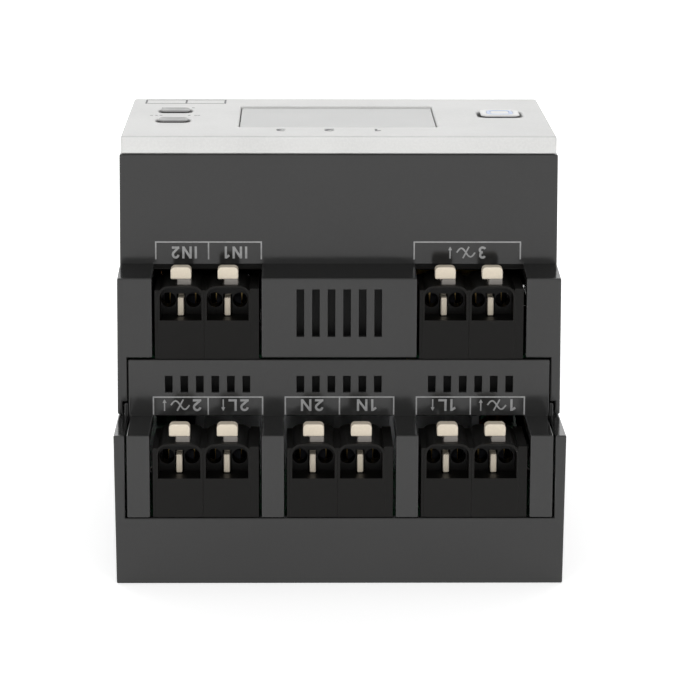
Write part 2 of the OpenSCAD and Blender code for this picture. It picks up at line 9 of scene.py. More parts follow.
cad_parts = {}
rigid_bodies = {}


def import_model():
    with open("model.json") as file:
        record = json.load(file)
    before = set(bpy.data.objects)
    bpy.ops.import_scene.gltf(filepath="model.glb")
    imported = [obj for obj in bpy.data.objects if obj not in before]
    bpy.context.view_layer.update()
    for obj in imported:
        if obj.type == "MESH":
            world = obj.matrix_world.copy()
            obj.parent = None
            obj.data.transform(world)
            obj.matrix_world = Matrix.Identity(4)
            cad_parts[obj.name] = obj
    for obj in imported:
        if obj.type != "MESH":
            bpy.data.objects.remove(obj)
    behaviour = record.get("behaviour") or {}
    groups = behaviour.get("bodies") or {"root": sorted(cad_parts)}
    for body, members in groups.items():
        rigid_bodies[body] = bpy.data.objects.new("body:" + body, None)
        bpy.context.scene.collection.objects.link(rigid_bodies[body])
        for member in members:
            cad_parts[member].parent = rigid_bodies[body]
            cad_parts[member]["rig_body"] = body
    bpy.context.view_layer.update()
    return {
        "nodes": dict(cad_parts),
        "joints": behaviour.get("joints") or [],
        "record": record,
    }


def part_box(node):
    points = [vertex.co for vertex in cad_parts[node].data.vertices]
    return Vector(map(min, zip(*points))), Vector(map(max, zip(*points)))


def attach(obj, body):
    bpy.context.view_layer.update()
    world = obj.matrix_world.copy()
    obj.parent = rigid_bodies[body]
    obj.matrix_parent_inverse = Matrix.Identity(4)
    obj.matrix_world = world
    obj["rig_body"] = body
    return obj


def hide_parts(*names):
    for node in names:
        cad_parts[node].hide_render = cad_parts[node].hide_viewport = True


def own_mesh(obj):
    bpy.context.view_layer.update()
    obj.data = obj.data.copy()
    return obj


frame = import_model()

MM = 0.001
HOUSING = "housing"


# ---------- shader maths ----------

class Value:
    """A node's output. + - * / on it add Math nodes."""

    def __init__(self, finish, socket):
        self.finish, self.socket = finish, socket

    def math(self, operation, *others):
        values = dict(enumerate((self, *others)))
        return self.finish.node("ShaderNodeMath", {"operation": operation}, values)

    def __add__(self, other):
        return self.math("ADD", other)

    def __sub__(self, other):
        return self.math("SUBTRACT", other)

    def __mul__(self, other):
        return self.math("MULTIPLY", other)

    def __truediv__(self, other):
        return self.math("DIVIDE", other)

    def __rsub__(self, other):
        return self.finish.node("ShaderNodeMath", {"operation": "SUBTRACT"}, {0: other, 1: self})

    __radd__ = __add__
    __rmul__ = __mul__

    def over(self, low, high):
        """0 below low, 1 above high, and smooth between them."""
        return self.finish.node("ShaderNodeMapRange", {"interpolation_type": "SMOOTHSTEP"},
                                {"Value": self, "From Min": low, "From Max": high})


def socket_name(key):
    """A shader socket's name from a keyword, such as Base Color from base_color."""
    return key.replace("_", " ").title().replace("Ior", "IOR")


class Finish:
    """A material: its nodes, and the patterns that feed its shader."""

    def __init__(self, name, **shader):
        self.material = bpy.data.materials.new(name)
        self.material.use_nodes = True
        self.tree = self.material.node_tree
        self.shader = self.tree.nodes["Principled BSDF"]
        self.places = self.node("ShaderNodeTexCoord", output="Object")
        self.set(self.shader, {socket_name(key): value for key, value in shader.items()})

    def set(self, node, values):
        for key, value in values.items():
            socket = node.inputs[key]
            if isinstance(value, Value):
                self.tree.links.new(value.socket, socket)
            elif isinstance(value, tuple) and len(value) == 3 and socket.type == "RGBA":
                socket.default_value = (*value, 1)
            else:
                socket.default_value = value

    def node(self, kind, settings=None, values=None, output=0):
        node = self.tree.nodes.new(kind)
        for key, value in (settings or {}).items():
            if key == "stops":
                ramp = node.color_ramp.elements
                while len(ramp) < len(value):
                    ramp.new(0.5)
                for element, (place, colour) in zip(ramp, value):
                    element.position = place
                    element.color = (*colour, 1)
            else:
                setattr(node, key, value)
        self.set(node, values or {})
        return Value(self, node.outputs[output])

    def noise(self, scale, detail=2, roughness=0.5):
        """Noise with features of about 1 / scale metres."""
        return self.node("ShaderNodeTexNoise", {}, {"Vector": self.places, "Scale": scale, "Detail": detail,
                                                    "Roughness": roughness})

    def attribute(self, name):
        return self.node("ShaderNodeAttribute", {"attribute_name": name}, output="Fac")

    def mix(self, factor, first, second):
        node = self.tree.nodes.new("ShaderNodeMix")
        node.data_type = "RGBA"
        self.set(node, {0: factor, 6: first, 7: second})
        return Value(self, node.outputs[2])

    def bump(self, height, strength, depth):
        """Adds relief of depth metres to the shader's normal."""
        before = self.shader.inputs["Normal"].links
        values = {"Height": height, "Strength": strength, "Distance": depth}
        if before:
            values["Normal"] = Value(self, before[0].from_socket)
        self.set(self.shader, {"Normal": self.node("ShaderNodeBump", {}, values, "Normal")})

    def on(self, **values):
        self.set(self.shader, {socket_name(key): value for key, value in values.items()})
        return self


def shade(colour, factor):
    return tuple(min(1.0, c * factor) for c in colour)


def moulded_plastic(name, colour, roughness, wear_and_highlight_colour, grain=0.35, coat=0.0, shine=0.5):
    """Injection-moulded plastic: spark-eroded skin, faint flow marks, handling marks, and rounded edges
    lightened as wear and as a painted highlight.
    """
    finish = Finish(name, coat_roughness=0.3, specular_ior_level=shine)
    flow = finish.noise(45, 3)
    skin = finish.noise(2600, 3, 0.6)
    touch = finish.noise(160, 4, 0.65).over(0.52, 0.75)
    # every rounded edge is lightened all along as a painted highlight, and more in patches as wear
    wear_and_highlight = finish.attribute("rubbed_edge") * (finish.noise(90, 3).over(0.35, 0.7) * 0.35 + 0.4)
    tone = finish.mix(flow.over(0.3, 0.7), shade(colour, 0.96), shade(colour, 1.04))
    tone = finish.mix(skin.over(0.35, 0.75) * 0.25, tone, shade(colour, 1.25))
    finish.on(base_color=finish.mix(wear_and_highlight * 0.4, tone, wear_and_highlight_colour),
              roughness=touch * 0.06 + skin * 0.05 + wear_and_highlight * 0.1 + (roughness - 0.04))
    if coat:
        finish.on(coat_weight=coat)
    finish.bump(skin, grain, 0.006 * MM)
    finish.bump(flow, 0.1, 0.02 * MM)
    return finish.material


def bare_metal(name, colour, roughness, brush=(1, 1, 1), tarnish=None):
    """Plain metal with brush lines stretched along the axis whose factor is small, and some tarnish."""
    finish = Finish(name, metallic=1.0)
    along = finish.node("ShaderNodeMapping", {}, {"Vector": finish.places, "Scale": brush})
    lines = finish.node("ShaderNodeTexNoise", {}, {"Vector": along, "Scale": 3000, "Detail": 3})
    dull = finish.noise(300, 4, 0.6).over(0.45, 0.75)
    finish.on(base_color=finish.mix(dull * 0.6, colour, tarnish or shade(colour, 0.7)),
              roughness=lines * 0.15 + dull * 0.18 + roughness)
    finish.bump(lines, 0.3, 0.01 * MM)
    return finish.material


def printed_ink(name, colour):
    finish = Finish(name)
    cover = finish.noise(1800, 2)
    finish.on(base_color=finish.mix(cover.over(0.3, 0.7), shade(colour, 0.88), shade(colour, 1.06)),
              roughness=cover * 0.15 + 0.42)
    finish.bump(cover, 0.3, 0.005 * MM)
    return finish.material


def solder_mask():
    """Green board: traces stand out under the mask, with dull glass cloth in it."""
    finish = Finish("solder_mask_green", coat_weight=0.12, coat_roughness=0.3, specular_ior_level=0.3)
    cells = finish.node("ShaderNodeTexVoronoi", {"feature": "DISTANCE_TO_EDGE"},
                        {"Vector": finish.places, "Scale": 330, "Randomness": 0.55}, "Distance")
    traces = 1 - cells.over(0.10, 0.16)
    cloth = finish.node("ShaderNodeTexWave", {"bands_direction": "DIAGONAL"},
                        {"Vector": finish.places, "Scale": 900, "Distortion": 1.0}, "Fac")
    bare = finish.mix(cloth * 0.25, (0.018, 0.105, 0.045), (0.035, 0.17, 0.07))
    finish.on(base_color=finish.mix(traces, bare, (0.035, 0.20, 0.085)), roughness=cloth * 0.08 + 0.45)
    finish.bump(traces, 0.6, 0.03 * MM)
    return finish.material


def cell_glass():
    """The liquid crystal cell's glass, seen from its edges: grey-green and glossy."""
    finish = Finish("cell_glass", coat_weight=0.5, coat_roughness=0.05)
    smear = finish.noise(70, 4, 0.6)
    finish.on(base_color=finish.mix(smear, (0.40, 0.43, 0.39), (0.46, 0.49, 0.45)),
              roughness=smear * 0.12 + 0.08)
    return finish.material


def display_film():
    """Reflective display with nothing shown: a pale grey film with a faint cell grid under gloss."""
    finish = Finish("display_film", coat_weight=0.25, coat_roughness=0.06)
    x = finish.node("ShaderNodeSeparateXYZ", {}, {"Vector": finish.places}, "X")
    y = finish.node("ShaderNodeSeparateXYZ", {}, {"Vector": finish.places}, "Y")
    cells_per_metre = 1 / (0.42 * MM)
    columns = (x * cells_per_metre).math("FRACT").over(0.80, 0.95)
    rows = (y * cells_per_metre).math("FRACT").over(0.80, 0.95)
    grid = (columns + rows).math("MINIMUM", 1.0)
    cloud = finish.noise(60, 2)
    base = finish.mix(cloud, (0.285, 0.29, 0.28), (0.31, 0.315, 0.305))
    finish.on(base_color=finish.mix(grid * 0.3, base, (0.25, 0.255, 0.245)), roughness=cloud * 0.1 + 0.25)
    finish.bump(grid, 0.2, 0.004 * MM)
    return finish.material


def frosted_light(name, colour, glow):
    finish = Finish(name, emission_strength=glow)
    frost = finish.noise(1500, 3)
    finish.on(base_color=finish.mix(frost.over(0.3, 0.7), shade(colour, 0.93), colour),
              roughness=frost * 0.15 + 0.3)
    finish.set(finish.shader, {"Emission Color": finish.mix(frost, colour, shade(colour, 1.1))})
    finish.bump(frost, 0.3, 0.006 * MM)
    return finish.material


def striped_rubber():
    finish = Finish("contact_rubber")
    x = finish.node("ShaderNodeSeparateXYZ", {}, {"Vector": finish.places}, "X")
    stripe = (x * (1 / (0.2 * MM))).math("FRACT").over(0.45, 0.55)
    finish.on(base_color=finish.mix(stripe, (0.02, 0.02, 0.022), (0.16, 0.15, 0.15)),
              roughness=stripe * 0.1 + 0.6)
    return finish.material


def wrapping_tape():
    finish = Finish("transformer_tape", coat_weight=0.2)
    z = finish.node("ShaderNodeSeparateXYZ", {}, {"Vector": finish.places}, "Z")
    edge = (z * (1 / (3.1 * MM))).math("FRACT").over(0.86, 0.96)
    crease = finish.noise(220, 4, 0.6)
    finish.on(base_color=finish.mix(crease, (0.62, 0.40, 0.03), (0.78, 0.55, 0.08)),
              roughness=crease * 0.2 + 0.25)
    finish.bump(edge, 0.6, 0.05 * MM)
    finish.bump(crease, 0.3, 0.05 * MM)
    return finish.material


def pale_floor():
    finish = Finish("studio_floor", specular_ior_level=0.2,
                    emission_color=(1.0, 1.0, 1.0), emission_strength=0.5)
    cloud = finish.noise(3, 3)
    finish.on(base_color=finish.mix(cloud, (0.91, 0.91, 0.91), (0.94, 0.94, 0.94)),
              roughness=cloud * 0.1 + 0.7)
    return finish.material


housing_grey = moulded_plastic("housing_grey", (0.021, 0.021, 0.0207), 0.14,
                               (0.05, 0.05, 0.049), 0.15, 0.0, 0.46)
panel_grey = moulded_plastic("panel_grey", (0.024, 0.024, 0.0237), 0.14,
                             (0.05, 0.05, 0.049), 0.15, 0.0, 0.46)
cover_white = moulded_plastic("cover_white", (0.655, 0.655, 0.643), 0.42, (0.82, 0.82, 0.81), 0.2)
terminal_black = moulded_plastic("terminal_black", (0.0042, 0.0038, 0.0032), 0.4,
                                 (0.03, 0.028, 0.026), 0.15, 0.0, 0.18)
release_cream = moulded_plastic("release_cream", (0.69, 0.61, 0.485), 0.38, (0.84, 0.78, 0.68), 0.2)
# painted shade: a dull brown for the cream button's stem, which lies in shade under the cap
release_stem_shade = moulded_plastic("release_stem_shade", (0.26, 0.24, 0.22), 0.4, (0.34, 0.32, 0.29), 0.2)
key_grey = moulded_plastic("key_grey", (0.33, 0.33, 0.325), 0.4, (0.5, 0.5, 0.5), 0.2)
gap_black = moulded_plastic("gap_black", (0.01, 0.01, 0.01), 0.6, (0.03, 0.03, 0.03), 0.2)
button_white = moulded_plastic("button_white", (0.78, 0.78, 0.77), 0.34, (0.86, 0.86, 0.85), 0.15)
connector_black = moulded_plastic("connector_black", (0.012, 0.012, 0.013), 0.4, (0.05, 0.05, 0.05), 0.3)
latch_grey = moulded_plastic("latch_grey", (0.035, 0.035, 0.036), 0.42, (0.09, 0.09, 0.09), 0.4)
light_guide_white = moulded_plastic("light_guide_white", (0.82, 0.82, 0.80), 0.3, (0.9, 0.9, 0.9), 0.1)
fuse_ceramic = moulded_plastic("fuse_ceramic", (0.66, 0.63, 0.57), 0.5, (0.8, 0.78, 0.74), 0.5)
capacitor_sleeve = moulded_plastic("capacitor_sleeve", (0.014, 0.02, 0.05), 0.25,
                                   (0.06, 0.07, 0.1), 0.15, 0.4)
board_green = solder_mask()
spring_steel = bare_metal("spring_steel", (0.52, 0.53, 0.55), 0.2, (1, 0.06, 1))
# the clamp springs' steel is painted near black, as painted shade for springs deep in the terminal pockets
clamp_steel_shaded = bare_metal("clamp_steel_shaded", (0.035, 0.036, 0.042), 0.35, (1, 0.06, 1), (0.02, 0.018, 0.016))
screw_steel = bare_metal("screw_steel", (0.58, 0.58, 0.57), 0.28, (1, 1, 0.1), (0.42, 0.40, 0.35))
sink_aluminium = bare_metal("sink_aluminium", (0.68, 0.69, 0.70), 0.25, (1, 1, 0.04))
can_tin = bare_metal("can_tin", (0.60, 0.60, 0.59), 0.22, (0.08, 1, 1))
contact_brass = bare_metal("contact_brass", (0.66, 0.47, 0.20), 0.24, (1, 1, 0.06), (0.36, 0.22, 0.09))
winding_copper = bare_metal("winding_copper", (0.62, 0.26, 0.11), 0.2, (1, 1, 1), (0.34, 0.11, 0.05))
lcd_glass = cell_glass()
lcd_film = display_film()
ring_light = frosted_light("ring_light", (0.50, 0.58, 0.78), 0.12)
led_lens = frosted_light("led_lens", (0.80, 0.84, 0.90), 0.0)
zebra_rubber = striped_rubber()
tape_yellow = wrapping_tape()
label_ink = printed_ink("label_ink", (0.36, 0.36, 0.36))
cover_ink = printed_ink("cover_ink", (0.085, 0.085, 0.09))
faint_ink = printed_ink("faint_ink", (0.26, 0.26, 0.26))


# ---------- mesh helpers ----------

def linked(name, mesh, *materials):
    piece = bpy.data.objects.new(name, mesh)
    bpy.context.scene.collection.objects.link(piece)
    piece.data.materials.clear()
    for material in materials:
        piece.data.materials.append(material)
    return piece


def baked(piece):
    """The piece with its modifiers' result as its plain mesh."""
    bpy.context.view_layer.update()
    shape = piece.evaluated_get(bpy.context.evaluated_depsgraph_get())
    mesh = bpy.data.meshes.new_from_object(shape)
    piece.modifiers.clear()
    piece.data = mesh
    return piece


def merged(node):
    """A CAD node's mesh with its doubles gone."""
    shape = bmesh.new()
    shape.from_mesh(frame["nodes"][node].data)
    bmesh.ops.remove_doubles(shape, verts=shape.verts, dist=0.002 * MM)
    mesh = bpy.data.meshes.new(node)
    shape.to_mesh(mesh)
    shape.free()
    for layer in [a.name for a in mesh.attributes if a.name in ("UVMap", "custom_normal")]:
        mesh.attributes.remove(mesh.attributes[layer])
    mesh.shade_smooth()
    return mesh


SHARP = math.radians(32)          # edges that turn more than this are rounded


def softened(node, material, radius, segments=2, shortest=0.5, fine=None):
    """A copy of a CAD node with its outer sharp edges rounded, which stands for the node. Edges between
    the two heights of fine, in millimetres, get a quarter of the radius."""
    mesh = merged(node)
    shape = bmesh.new()
    shape.from_mesh(mesh)
    weight = shape.edges.layers.float.new("bevel_weight_edge")
    for edge in shape.edges:
        sharp = len(edge.link_faces) == 2 and edge.is_convex and edge.calc_face_angle(0) > SHARP
        if sharp and edge.calc_length() > shortest * MM:
            is_fine = fine and all(fine[0] * MM < vert.co.z < fine[1] * MM for vert in edge.verts)
            edge[weight] = 0.25 if is_fine else 1.0
    shape.to_mesh(mesh)
    shape.free()
    piece = linked(node + "_moulded", mesh, material, material)
    bevel = piece.modifiers.new("edge radius", "BEVEL")
    bevel.limit_method = "WEIGHT"
    bevel.width = radius * MM
    bevel.segments = segments
    bevel.material = 1
    bevel.use_clamp_overlap = False
    bevel.loop_slide = False
    baked(piece)
    keep_flats_flat(piece.data)
    mark_rubbed_edges(piece.data)
    return standing_for(piece, node)


def keep_flats_flat(mesh):
    """Sets corner normals: a face shades with its level neighbours, and a rounded edge runs into them."""
    mesh.shade_smooth()
    smallest = (0.003 * MM) ** 2
    around = [[] for _ in mesh.vertices]
    faces = [(face.normal.copy(), face.area, face.material_index == 1) for face in mesh.polygons]
    for face in mesh.polygons:
        if face.area > smallest:
            for vert in face.vertices:
                around[vert].append(face.index)

    def blended(vert, normal, rounded):
        total = Vector()
        for index in around[vert]:
            other, area, is_rounded = faces[index]
            if is_rounded == rounded and (rounded or other.angle(normal, math.pi) < SHARP):
                total += other * area
        return total.normalized() if total.length else None

    normals = []
    for face in mesh.polygons:
        normal, area, rounded = faces[face.index]
        for corner in face.loop_indices:
            vert = mesh.loops[corner].vertex_index
            if rounded:
                flats = [faces[i][0] for i in around[vert] if not faces[i][2]]
                nearest = min(flats, key=lambda flat: flat.angle(normal, math.pi), default=None)
                result = blended(vert, nearest, False) if nearest else blended(vert, normal, True)
            else:
                result = blended(vert, normal, False)
            normals.append(result or normal)
    mesh.normals_split_custom_set(normals)


def two_tone_button(piece):
    """The stem just under the cap is painted dull as the shade under the cap's overhang, and the cap and the
    rib between the wire holes keep the bright cream.
    """
    piece.data.materials.append(release_stem_shade)
    top = max(vert.co.z for vert in piece.data.vertices)
    low, high = top - 3.4 * MM, top - 1.95 * MM
    for face in piece.data.polygons:
        if low < face.center.z < high:
            face.material_index = 1


RECESS_BACK = -22.0               # the back wall of the shallow recess over each upper cut-out
RECESS_LOW, RECESS_HIGH = 42, 48


def dark_recess(piece):
    """The recess's back wall is painted as black as the terminal blocks in front of it, as painted shade
    behind the blocks' tops.
    """
    piece.data.materials.append(terminal_black)
    for face in piece.data.polygons:
        middle = face.center / MM
        at_back = abs(middle.y - RECESS_BACK) < 0.1 and face.normal.y < -0.9
        if at_back and RECESS_LOW < middle.z < RECESS_HIGH:
            face.material_index = 1


def mark_rubbed_edges(mesh):
    """Turns the bevel's second material into an attribute that the finish reads to lighten the rounded edges,
    as wear and as painted highlight, and drops it.
    """
    wear_and_highlight = mesh.attributes.new("rubbed_edge", "FLOAT", "CORNER")
    values = [0.0] * len(mesh.loops)
    for face in mesh.polygons:
        if face.material_index == 1:
            for corner in face.loop_indices:
                values[corner] = 1.0
            face.material_index = 0
    wear_and_highlight.data.foreach_set("value", values)
    while len(mesh.materials) > 1:
        mesh.materials.pop()


def standing_for(piece, node):
    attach(piece, frame["nodes"][node]["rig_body"])
    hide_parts(node)
    return piece


def riding(piece, body):
    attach(piece, body)
    return piece


slots = {part["node"]: part["material_slot"] for part in frame["record"]["subparts"]}


def round_outline(width, length, radius, corner_steps=6):
    """Points round a rectangle with round corners, centred on the origin, the same number for every size."""
    radius = min(radius, width / 2, length / 2)
    points = []
    for quarter, (sx, sy) in enumerate(((1, 1), (-1, 1), (-1, -1), (1, -1))):
        for step in range(corner_steps + 1):
            angle = math.radians(90 * (quarter + step / corner_steps))
            points.append((sx * (width / 2 - radius) + radius * math.cos(angle),
                           sy * (length / 2 - radius) + radius * math.sin(angle)))
    return points


def stacked(name, centre, rings, material, hollow=False):
    """A solid whose outline is a round rectangle at each level. Each ring is (width, length, radius, height)
    in millimetres. A hollow one joins its last ring to its first instead of closing both ends."""
    shape = bmesh.new()
    loops = [[shape.verts.new(((centre[0] + x) * MM, (centre[1] + y) * MM, z * MM))
              for x, y in round_outline(w, l, r)] for w, l, r, z in rings]
    pairs = list(zip(loops, loops[1:])) + ([(loops[-1], loops[0])] if hollow else [])
    for low, high in pairs:
        for i in range(len(low)):
            j = (i + 1) % len(low)
            shape.faces.new((low[i], low[j], high[j], high[i]))
    if not hollow:
        shape.faces.new(loops[0][::-1])
        shape.faces.new(loops[-1])
    bmesh.ops.recalc_face_normals(shape, faces=shape.faces)
    mesh = bpy.data.meshes.new(name)
    shape.to_mesh(mesh)
    shape.free()
    mesh.shade_smooth()
    mesh.set_sharp_from_angle(angle=math.radians(50))
    return linked(name, mesh, material)


# ---------- printing ----------

INK_THICKNESS = 0.025
INK_STEP = 0.002                  # how much higher a mark is than the one before


def wall_print(y):
    """Axes of print on a wall that faces the terminals' end: it reads upside down from there."""
    return lambda x, z: Matrix(((-1, 0, 0, x), (0, 0, -1, y), (0, -1, 0, z), (0, 0, 0, 1)))


def cover_print(z):
    """Axes of print on the cover, which reads upside down from the terminals' end too."""
    return lambda x, y: Matrix(((-1, 0, 0, x), (0, -1, 0, y), (0, 0, 1, z), (0, 0, 0, 1)))


def raised_ink(shape_mesh, place):
    """Gives flat print its thickness and moves it to its place, a little into the surface."""
    shape = bmesh.new()
    shape.from_mesh(shape_mesh)
    bmesh.ops.remove_doubles(shape, verts=shape.verts, dist=0.001)
    for face in shape.faces:
        if face.normal.z < 0:
            face.normal_flip()
    top = bmesh.ops.extrude_face_region(shape, geom=shape.faces[:])
    for vert in (v for v in top["geom"] if isinstance(v, bmesh.types.BMVert)):
        vert.co.z = INK_THICKNESS
    for vert in shape.verts:
        if vert.co.z < INK_THICKNESS / 2:
            vert.co.z = -INK_THICKNESS / 2
    bmesh.ops.recalc_face_normals(shape, faces=shape.faces)
    bmesh.ops.transform(shape, matrix=Matrix.Scale(MM, 4) @ place, verts=shape.verts)
    mesh = bpy.data.meshes.new("print")
    shape.to_mesh(mesh)
    shape.free()
    return mesh


def bars_mesh(bars):
    """Flat rectangles (x0, y0, x1, y1) in millimetres."""
    mesh = bpy.data.meshes.new("bars")
    verts, faces = [], []
    for x0, y0, x1, y1 in bars:
        faces.append([len(verts) + i for i in range(4)])
        verts += [(x0, y0, 0), (x1, y0, 0), (x1, y1, 0), (x0, y1, 0)]
    mesh.from_pydata(verts, [], faces)
    return mesh


def ribbon_mesh(points, width):
    """A flat line of even width along points."""
    verts, faces = [], []
    for i, point in enumerate(points):
        ahead = Vector(points[min(i + 1, len(points) - 1)]) - Vector(points[max(i - 1, 0)])
        side = Vector((-ahead.y, ahead.x)).normalized() * width / 2
        verts += [(*(Vector(point) + side), 0), (*(Vector(point) - side), 0)]
        if i:
            faces.append([2 * i - 2, 2 * i - 1, 2 * i + 1, 2 * i])
    mesh = bpy.data.meshes.new("ribbon")
    mesh.from_pydata(verts, [], faces)
    return mesh


PEN = 0.185                       # width of a stroke in letters that are one unit tall


def bowl(x, y, across, up, start, end):
    """Points along part of an oval, from one angle in degrees to another."""
    turns = [math.radians(start + (end - start) * i / 14) for i in range(15)]
    return [(x + across * math.cos(turn), y + up * math.sin(turn)) for turn in turns]


def letter(sign):
    """A letter's width and strokes, one unit tall."""
    half = PEN / 2
    return {
        "I": (PEN, [[(half, 0), (half, 1)]]),
        "L": (0.6, [[(half, 0), (half, 1)], [(0, half), (0.6, half)]]),
        "N": (0.78, [[(half, 0), (half, 1)], [(0.78 - half, 0), (0.78 - half, 1)],
                     [(half, 0.97), (0.78 - half, 0.03)]]),
        "1": (0.4, [[(0.4 - half, 0), (0.4 - half, 1)], [(0.4 - half, 0.95), (0.03, 0.72)]]),
        "2": (0.6, [bowl(0.3, 0.67, 0.225, 0.255, 175, -38) + [(0.06, 0.08)], [(0, half), (0.6, half)]]),
        "3": (0.58, [bowl(0.27, 0.71, 0.2, 0.215, 155, -95), bowl(0.27, 0.285, 0.235, 0.21, 95, -155)]),
    }[sign]


def word_meshes(word, height, stretch=1.0):
    """A word as strokes of even width, centred on the origin, height millimetres tall."""
    gap = 0.24
    signs = [letter(sign) for sign in word]
    left = -(sum(width for width, _ in signs) + gap * (len(signs) - 1)) / 2
    meshes = []
    for width, strokes in signs:
        for stroke in strokes:
            points = [((left + x) * height * stretch, (y - 0.5) * height) for x, y in stroke]
            meshes.append(ribbon_mesh(points, PEN * height))
        left += width + gap
    return meshes


def arrow_mesh(height, up=True):
    s = 1 if up else -1
    mesh = bpy.data.meshes.new("arrow")
    half, head, shaft, barb = height / 2, 0.6, 0.1, 0.32
    points = [(-shaft, -half), (shaft, -half), (shaft, half - head), (barb, half - head), (0, half),
              (-barb, half - head), (-shaft, half - head)]
    mesh.from_pydata([(s * x, s * y, 0) for x, y in points], [], [range(len(points))])
    return mesh


def wave_meshes(height):
    """A wave crossed by a slanting stroke, the sign of a switched alternating supply."""
    wave = [(-1.5 + 3.0 * t / 16, 0.36 * height * math.sin(2 * math.pi * t / 16)) for t in range(17)]
    return [ribbon_mesh(wave, 0.25), ribbon_mesh([(-0.5, -0.48 * height), (0.5, 0.48 * height)], 0.24)]


class Print:
    """Collects print that lies on one surface, and makes it one piece."""

    def __init__(self, name, axes, ink):
        self.name, self.axes, self.ink, self.parts = name, axes, ink, []

    def add(self, mesh, x=0.0, y=0.0, turned=True):
        """Each mark is a hair higher than the last, so that strokes that cross never share a face."""
        place = self.axes(x, y) if turned else self.axes(x, y) @ Matrix.Diagonal((-1, -1, 1, 1))
        layer = Matrix.Translation((0, 0, INK_STEP * (len(self.parts) % 5)))
        self.parts.append(raised_ink(mesh, place @ layer))

    def row(self, z, height, stretch, *marks):
        """Marks in a line: words, arrows that point up or down on the standing wall, and the wave."""
        for mark, x in marks:
            if mark == "~":
                meshes = wave_meshes(height)
            elif mark in ("up", "down"):
                meshes = [arrow_mesh(height, up=(mark == "down"))]
            else:
                meshes = word_meshes(mark, height, stretch)
            for mesh in meshes:
                self.add(mesh, x, z)

    def finished(self):
        shape = bmesh.new()
        for mesh in self.parts:
            shape.from_mesh(mesh)
        mesh = bpy.data.meshes.new(self.name)
        shape.to_mesh(mesh)
        shape.free()
        return riding(linked(self.name, mesh, self.ink), HOUSING)


LABEL_LINE = 0.22


def label_frame(sheet, edges, low, high):
    """Upright lines at each edge and one along the top, open towards the terminals."""
    half = LABEL_LINE / 2
    bars = [(x - half, low, x + half, high) for x in edges]
    bars += [(a + half, high - LABEL_LINE, b - half, high) for a, b in zip(edges, edges[1:])]
    sheet.add(bars_mesh(bars), turned=False)


nose_y = -22.5
step_y = -31.65
upper_labels = Print("terminal_labels_upper", wall_print(nose_y), label_ink)
label_frame(upper_labels, (-30.0, -21.35, -12.7), 48.6, 51.6)
label_frame(upper_labels, (12.4, 29.85), 48.6, 51.6)
upper_labels.row(49.75, 2.0, 1.0, ("IN2", -25.3), ("IN1", -16.85), ("up", 18.3), ("~", 20.9), ("3", 23.6))
upper_labels.finished()

lower_labels = Print("terminal_labels_lower", wall_print(step_y), label_ink)
for edges in ((-30.2, -21.3, -12.45), (-8.75, 0.07, 8.9), (12.6, 21.4, 30.2)):
    label_frame(lower_labels, edges, 24.6, 27.65)
lower_labels.row(26.2, 1.95, 1.17,
                 ("up", -28.4), ("~", -25.85), ("2", -23.1), ("down", -18.85), ("2L", -16.35),
                 ("2N", -4.4), ("1N", 4.5),
                 ("down", 15.25), ("1L", 17.6), ("up", 23.1), ("~", 25.7), ("1", 28.35))
lower_labels.finished()

cover_face = 69.0
cover_marks = Print("cover_marks", cover_print(cover_face), cover_ink)
tick = 0.16
cover_marks.add(bars_mesh([(x - tick, 15.9, x + tick, 20.6) for x in (-33.2, -26.2, -19.4)]), turned=False)
for number, x in ((1, 6.5), (2, -1.5), (3, -9.5)):
    for mesh in word_meshes(str(number), 2.3, 1.15):
        cover_marks.add(mesh, x, -15.6)
cover_marks.finished()

faint_marks = Print("cover_marks_faint", cover_print(cover_face), faint_ink)
faint_marks.add(bars_mesh([(-33.0, y - 0.16, -19.6, y + 0.16) for y in (16.0, 20.5)]), turned=False)
dashes = [(x, 1.1) for x in (-31.8, -31.0, -30.2, -25.4, -24.3, -23.8)] + [(-30.2, 10.3), (-25.0, 10.3)]
faint_marks.add(bars_mesh([(x, y, x + 0.45, y + 0.4) for x, y in dashes]), turned=False)
faint_marks.finished()


# ---------- moulded parts ----------

softened("base_housing", housing_grey, 0.22)
dark_recess(softened("upper_housing", housing_grey, 0.25, fine=(37.4, 45.6)))
for node in ("front_terminal_panel", "rear_terminal_panel"):
    softened(node, panel_grey, 0.2, fine=(28.2, 31.2))
softened("front_cover", cover_white, 0.42, 4, 0.02)
softened("rail_latch", latch_grey, 0.25)
softened("board_headers", connector_black, 0.15)
for node in [n for n in slots if n.startswith("terminal_block")]:
    softened(node, terminal_black, 0.06, 2, 0.05)
for node in [n for n in slots if n.startswith("release_button")]:
    two_tone_button(softened(node, release_cream, 0.22, 3, 0.05))


# ---------- seal ----------

# Foam strip that closes the joint between the shell's rear end wall and the panel under it
SEAL_Y = 29.65
seal_rings = [(68.6, 0.6, 0.1, z) for z in (33.1, 34.9)]
riding(stacked("joint_seal_rear", (0, SEAL_Y), seal_rings, gap_black), HOUSING)


# ---------- keys and display ----------

